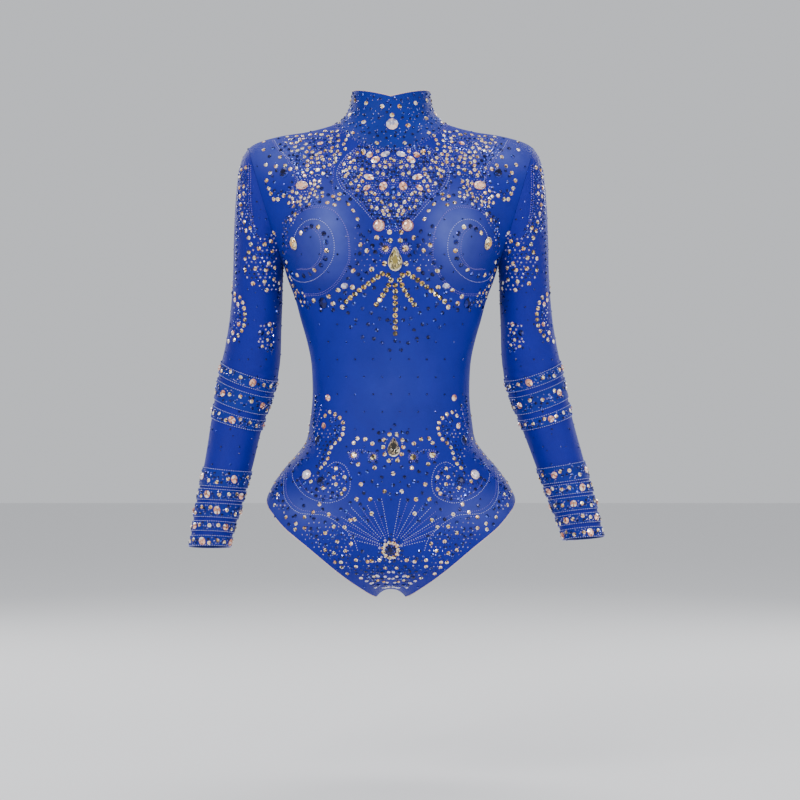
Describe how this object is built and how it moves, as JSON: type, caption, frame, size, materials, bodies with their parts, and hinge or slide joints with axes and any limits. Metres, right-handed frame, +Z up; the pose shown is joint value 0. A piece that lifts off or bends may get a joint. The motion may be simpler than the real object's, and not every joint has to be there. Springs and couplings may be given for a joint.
{
  "type": "gymnastics leotard",
  "caption": "Long-sleeved stretch leotard with a stand-up collar, crystal-covered mesh, banded sleeves, high-cut legs and a back zip, standing open as if worn.",
  "frame": {"origin": "the hanging point: on the centre line, level with the shoulder tips and midway between front and back at the side seams", "axes": "+Z up, -Y the way the wearer faces, +X the wearer's left"},
  "size_m": [0.5779, 0.2575, 0.7053],
  "materials": {
    "stretch_mesh": "translucent sheer stretch mesh with a soft sheen",
    "collar_mesh": "double layer of stretch mesh",
    "trim_band": "stretch mesh band packed with small stones",
    "lining": "plain matt lining",
    "elastic": "woven elastic",
    "foam": "foam cup covered in lining",
    "zip_tape": "woven zip tape",
    "zip_coil": "nylon coil",
    "slider_metal": "blue painted metal",
    "steel": "plated steel",
    "champagne_stone": "faceted foil-backed champagne glass",
    "sapphire_stone": "faceted foil-backed dark blue glass"
  },
  "bodies": {
    "torso": {"front_panel": "stretch_mesh", "back_panel_left": "stretch_mesh", "back_panel_right": "stretch_mesh", "collar": "collar_mesh", "collar_facing": "lining", "gusset_lining": "lining", "leg_elastic_left": "elastic", "bust_cup_left": "foam", "zip_teeth_left": "zip_coil", "zip_tape_left": "zip_tape", "zip_top_stop_left": "steel", "leg_elastic_right": "elastic", "bust_cup_right": "foam", "zip_teeth_right": "zip_coil", "zip_tape_right": "zip_tape", "zip_top_stop_right": "steel", "zip_bottom_stop": "steel", "collar_hook": "steel", "collar_eye": "steel", "bust_drop_stone": "champagne_stone", "waist_drop_stone": "champagne_stone", "rosette_stone": "sapphire_stone", "chest_stone_left": "champagne_stone", "chest_stone_right": "champagne_stone", "bust_oval_stone_left": "champagne_stone", "bust_oval_stone_right": "champagne_stone", "shoulder_drop_stone_left": "champagne_stone", "shoulder_drop_stone_right": "champagne_stone", "shoulder_dark_stone_left": "sapphire_stone", "shoulder_dark_stone_right": "sapphire_stone", "hip_round_stone_left": "champagne_stone", "hip_round_stone_right": "champagne_stone", "hip_dark_stone_left": "sapphire_stone", "hip_dark_stone_right": "sapphire_stone", "side_dark_stone_left": "sapphire_stone", "side_dark_stone_right": "sapphire_stone"},
    "sleeve_left": {"sleeve_left": "stretch_mesh", "cuff_elastic_left": "elastic", "upper_band_1_left": "trim_band", "upper_band_2_left": "trim_band", "upper_band_3_left": "trim_band", "wrist_band_1_left": "trim_band", "wrist_band_2_left": "trim_band", "wrist_band_3_left": "trim_band", "wrist_band_4_left": "trim_band", "wrist_band_5_left": "trim_band"},
    "sleeve_right": {"sleeve_right": "stretch_mesh", "cuff_elastic_right": "elastic", "upper_band_1_right": "trim_band", "upper_band_2_right": "trim_band", "upper_band_3_right": "trim_band", "wrist_band_1_right": "trim_band", "wrist_band_2_right": "trim_band", "wrist_band_3_right": "trim_band", "wrist_band_4_right": "trim_band", "wrist_band_5_right": "trim_band"},
    "slider": {"zip_slider": "slider_metal"},
    "pull": {"zip_pull": "slider_metal"}
  },
  "joints": [
    {"name": "sleeve_left_swing", "type": "hinge", "parent": "torso", "child": "sleeve_left", "pos_m": [0.1745, 0, -0.08], "axis": [-0.9581, 0, 0.2863], "range_deg": [-30, 60]},
    {"name": "sleeve_right_swing", "type": "hinge", "parent": "torso", "child": "sleeve_right", "pos_m": [-0.1745, 0, -0.08], "axis": [-0.9581, 0, -0.2863], "range_deg": [-30, 60]},
    {"name": "zip_run", "type": "hinge", "parent": "torso", "child": "slider", "pos_m": [0, -0.62382, -0.13921], "axis": [-1, 0, 0], "range_deg": [0, 28.9]},
    {"name": "pull_flip", "type": "hinge", "parent": "slider", "child": "pull", "pos_m": [0, 0.0683, 0.06863], "axis": [1, 0, 0], "range_deg": [0, 160]}
  ]
}
